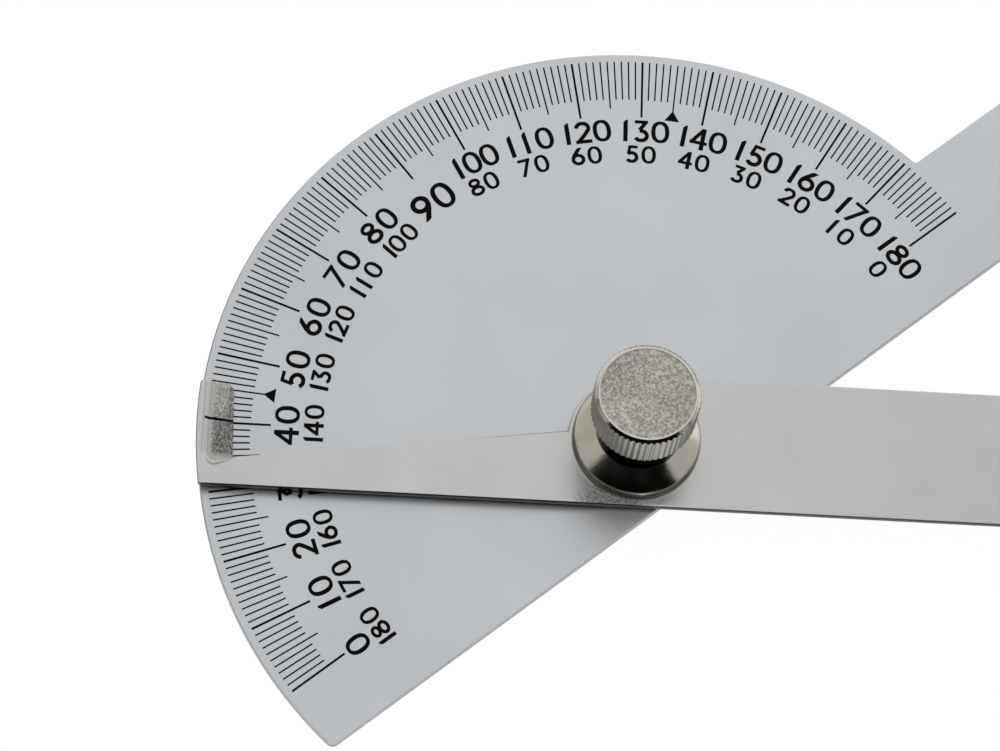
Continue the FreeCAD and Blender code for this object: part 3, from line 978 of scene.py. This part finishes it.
def nutProfile():
    # from the middle of the end face over its ring, chamfer, knurled band and foot to the bore
    face, ring, radius, top = nut["face"], nut["ring"], nut["radius"], nut["top"]
    r = np.linspace(0, face, 14)
    dished = np.stack([r, top - nut["faceStep"] - nut["dish"] * (1 - (r / face) ** 2)], 1)
    lip, step, cut, shoulder = nut["lip"], nut["step"], nut["undercut"], nut["shoulder"]
    knurlTop, knurlBottom = nut["knurlTop"], nut["knurlBottom"]
    flat = roundCorner([face - lip, top - nut["faceStep"]], [face + lip, top], [ring, top], lip, 4)
    edge = roundCorner([face, top], [ring, top], [radius, knurlTop], nut["edge"], 6)
    chamfer = np.linspace(edge[-1], [radius, knurlTop], 14)[1:]
    band = np.linspace([radius, knurlTop - nut["bandTop"]], [radius, knurlBottom + step], 9)
    foot = np.array([[radius - shoulder, knurlBottom + cut], [radius - step, knurlBottom],
                     [nut["body"] + shoulder, knurlBottom], [nut["body"], knurlBottom - cut],
                     [nut["foot"], nut["bottom"] + nut["edge"]], [nut["foot"] - nut["edge"], nut["bottom"]],
                     [nut["bore"], nut["bottom"]], [nut["bore"], nut["boreTop"]], [0, nut["boreTop"]]])
    return np.concatenate([dished, flat, edge, chamfer, band, foot])


def knurlRoots(angles, heights, radii):
    # rounded V teeth, a cosine round the band. They cut only what stands out past their roots.
    teeth = nut["radius"] - nut["toothDepth"] * (0.5 - 0.5 * np.cos(angles * nut["teeth"]))
    return np.where(heights > nut["knurlBottom"] - nut["undercut"] / 2, np.minimum(radii, teeth), radii)


# The knurled band and the foot are darker copies of the plating: painted shade, the foot near black with its
# mirroring dulled
plated = polishedNickel("polishedNickelNut", "#C9C6BD", 0.16)
knurled = polishedNickel("paintedShadeKnurlNickel", "#9C9A93", 0.26)
footShade = polishedNickel("paintedShadeFootNickel", "#45433F", 0.2, tint=0.25)
faced = turnedNickelFace()
points, faces = turnedMesh(nutProfile(), nut["teeth"] * nut["perTooth"], knurlRoots)
heights = points[:, 2]
radii = np.hypot(points[:, 0], points[:, 1])
# a face takes the material of the zone that all its points lie in, or else the plain plating
zones = {1: (heights > nut["top"] - nut["faceDepth"]) & (radii < nut["face"] + nut["lip"] / 2),
         2: (heights > nut["knurlBottom"] + nut["shoulder"]) & (heights < nut["knurlTop"] + nut["step"]),
         3: heights < nut["knurlBottom"] + nut["step"] / 2}
kinds = [next((kind for kind, zone in zones.items() if zone[list(face)].all()), 0) for face in faces]
meshObject("knurledNut", points, faces, "nut", [plated, faced, knurled, footShade], kinds,
           replaced=("thumb_nut",))
print("collar and nut turned")


# Pieces that keep their own solids

def dress(name, material):
    mesh = nodes[name].data
    mesh.materials.clear()
    mesh.materials.append(material)


dress("pivot_stud", turnedMetal("turnedStudSteel", "#B9B9B9", "#A4A4A5", 0.28))
dress("friction_washer", turnedMetal("brassWasher", "#C9A766", "#B7924F", 0.34))
dress("spring_washer", turnedMetal("blueSpringSteel", "#77787B", "#5F6063", 0.30))
print("small pieces finished")


# Studio: a white floor and world. A black card stands on the camera's side with a low one at
# each end of it, two dark grey cards darken the sides, and three cream cards light them.
# Each card's azimuth is measured from the camera's, and elevation from the floor, in degrees.

studio = {"floor": 1.6, "floorDown": 0.02, "cardRadius": 1.3, "cardColumns": 25, "cardRows": 19,
          "azimuth": -142.7, "black": (0.004, 0.004, 0.004, 1), "shade": (0.09, 0.09, 0.085, 1),
          "cream": "#C2C1B9"}
blackCards = {"blackCard": {"azimuth": (-52, 71), "elevation": (0, 56)},
              "horizonLeftCard": {"azimuth": (-88, -52), "elevation": (0, 9)},
              "horizonRightCard": {"azimuth": (71, 92), "elevation": (0, 7)}}
shadeCards = {"shadeLeftCard": {"azimuth": (-136, -84), "elevation": (26, 60)},
              "shadeRightCard": {"azimuth": (84, 117), "elevation": (26, 60)}}
creamCards = {"creamCardLeft": {"azimuth": (-138, -52.5), "elevation": (0, 72)},
              "creamCardRight": {"azimuth": (71.5, 121), "elevation": (0, 72)},
              "creamCardFarRight": {"azimuth": (121, 153), "elevation": (42, 73)}}


def stagePiece(name, points, faces, material):
    mesh = bpy.data.meshes.new(name)
    mesh.from_pydata(points.tolist(), [], faces)
    mesh.materials.append(material)
    piece = bpy.data.objects.new(name, mesh)
    bpy.context.scene.collection.objects.link(piece)
    return piece


def floorMaterial():
    # seen directly or in a mirror it is an even white, and other light finds matt white paint
    look = {"paint": (0.92, 0.92, 0.92, 1), "glow": 1.07, "share": 0.9}
    material = bpy.data.materials.new("whiteFloor")
    tree = emptyTree(material)
    paths = addNode(tree, "ShaderNodeLightPath").outputs
    seen = combine(tree, "MAXIMUM", paths["Is Camera Ray"], paths["Is Glossy Ray"])
    seen = combine(tree, "MAXIMUM", seen, paths["Is Transmission Ray"])
    share = combine(tree, "MULTIPLY", seen, look["share"])
    paint = addNode(tree, "ShaderNodeBsdfDiffuse", {"Color": look["paint"]})
    glow = addNode(tree, "ShaderNodeEmission", {"Color": (1, 1, 1, 1), "Strength": look["glow"]})
    both = addNode(tree, "ShaderNodeMixShader", {0: share, 1: paint.outputs[0], 2: glow.outputs[0]})
    addNode(tree, "ShaderNodeOutputMaterial", {"Surface": both.outputs[0]})
    return material


def cardMaterial(name, colour, glowing):
    material = bpy.data.materials.new(name)
    tree = emptyTree(material)
    kind = "ShaderNodeEmission" if glowing else "ShaderNodeBsdfDiffuse"
    paint = addNode(tree, kind, {"Color": colour})
    addNode(tree, "ShaderNodeOutputMaterial", {"Surface": paint.outputs[0]})
    return material


def addCards(cards, material, nearer=1.0):
    # each card is a patch of a large sphere round the object
    columns, rows = studio["cardColumns"], studio["cardRows"]
    for name, spans in cards.items():
        azimuth = np.radians(np.linspace(*spans["azimuth"], columns) + studio["azimuth"])
        elevation = np.radians(np.linspace(*spans["elevation"], rows))
        azimuth, elevation = np.meshgrid(azimuth, elevation, indexing="ij")
        directions = np.stack([np.cos(azimuth) * np.cos(elevation), np.sin(azimuth) * np.cos(elevation),
                               np.sin(elevation)], 2).reshape(-1, 3)
        grid = np.arange(columns * rows).reshape(columns, rows)
        faces = np.stack([grid[:-1, :-1], grid[:-1, 1:], grid[1:, 1:], grid[1:, :-1]], 2).reshape(-1, 4)
        piece = stagePiece(name, directions * studio["cardRadius"] * nearer, faces.tolist(), material)
        piece.visible_camera = False


size, down = studio["floor"], -studio["floorDown"] * mm
corners = np.array([[-size, -size, down], [size, -size, down], [size, size, down], [-size, size, down]])
stagePiece("whiteFloor", corners, [[0, 1, 2, 3]], floorMaterial())
addCards(blackCards, cardMaterial("blackCard", studio["black"], False), nearer=0.97)
addCards(shadeCards, cardMaterial("shadeCard", studio["shade"], True), nearer=0.98)
addCards(creamCards, cardMaterial("creamCard", linear(studio["cream"]), True))

world = bpy.data.worlds.new("whiteStudio")
tree = emptyTree(world)
sky = addNode(tree, "ShaderNodeBackground", {"Color": (1, 1, 1, 1), "Strength": 1.0})
addNode(tree, "ShaderNodeOutputWorld", {"Surface": sky.outputs[0]})
bpy.context.scene.world = world
print("studio lit")
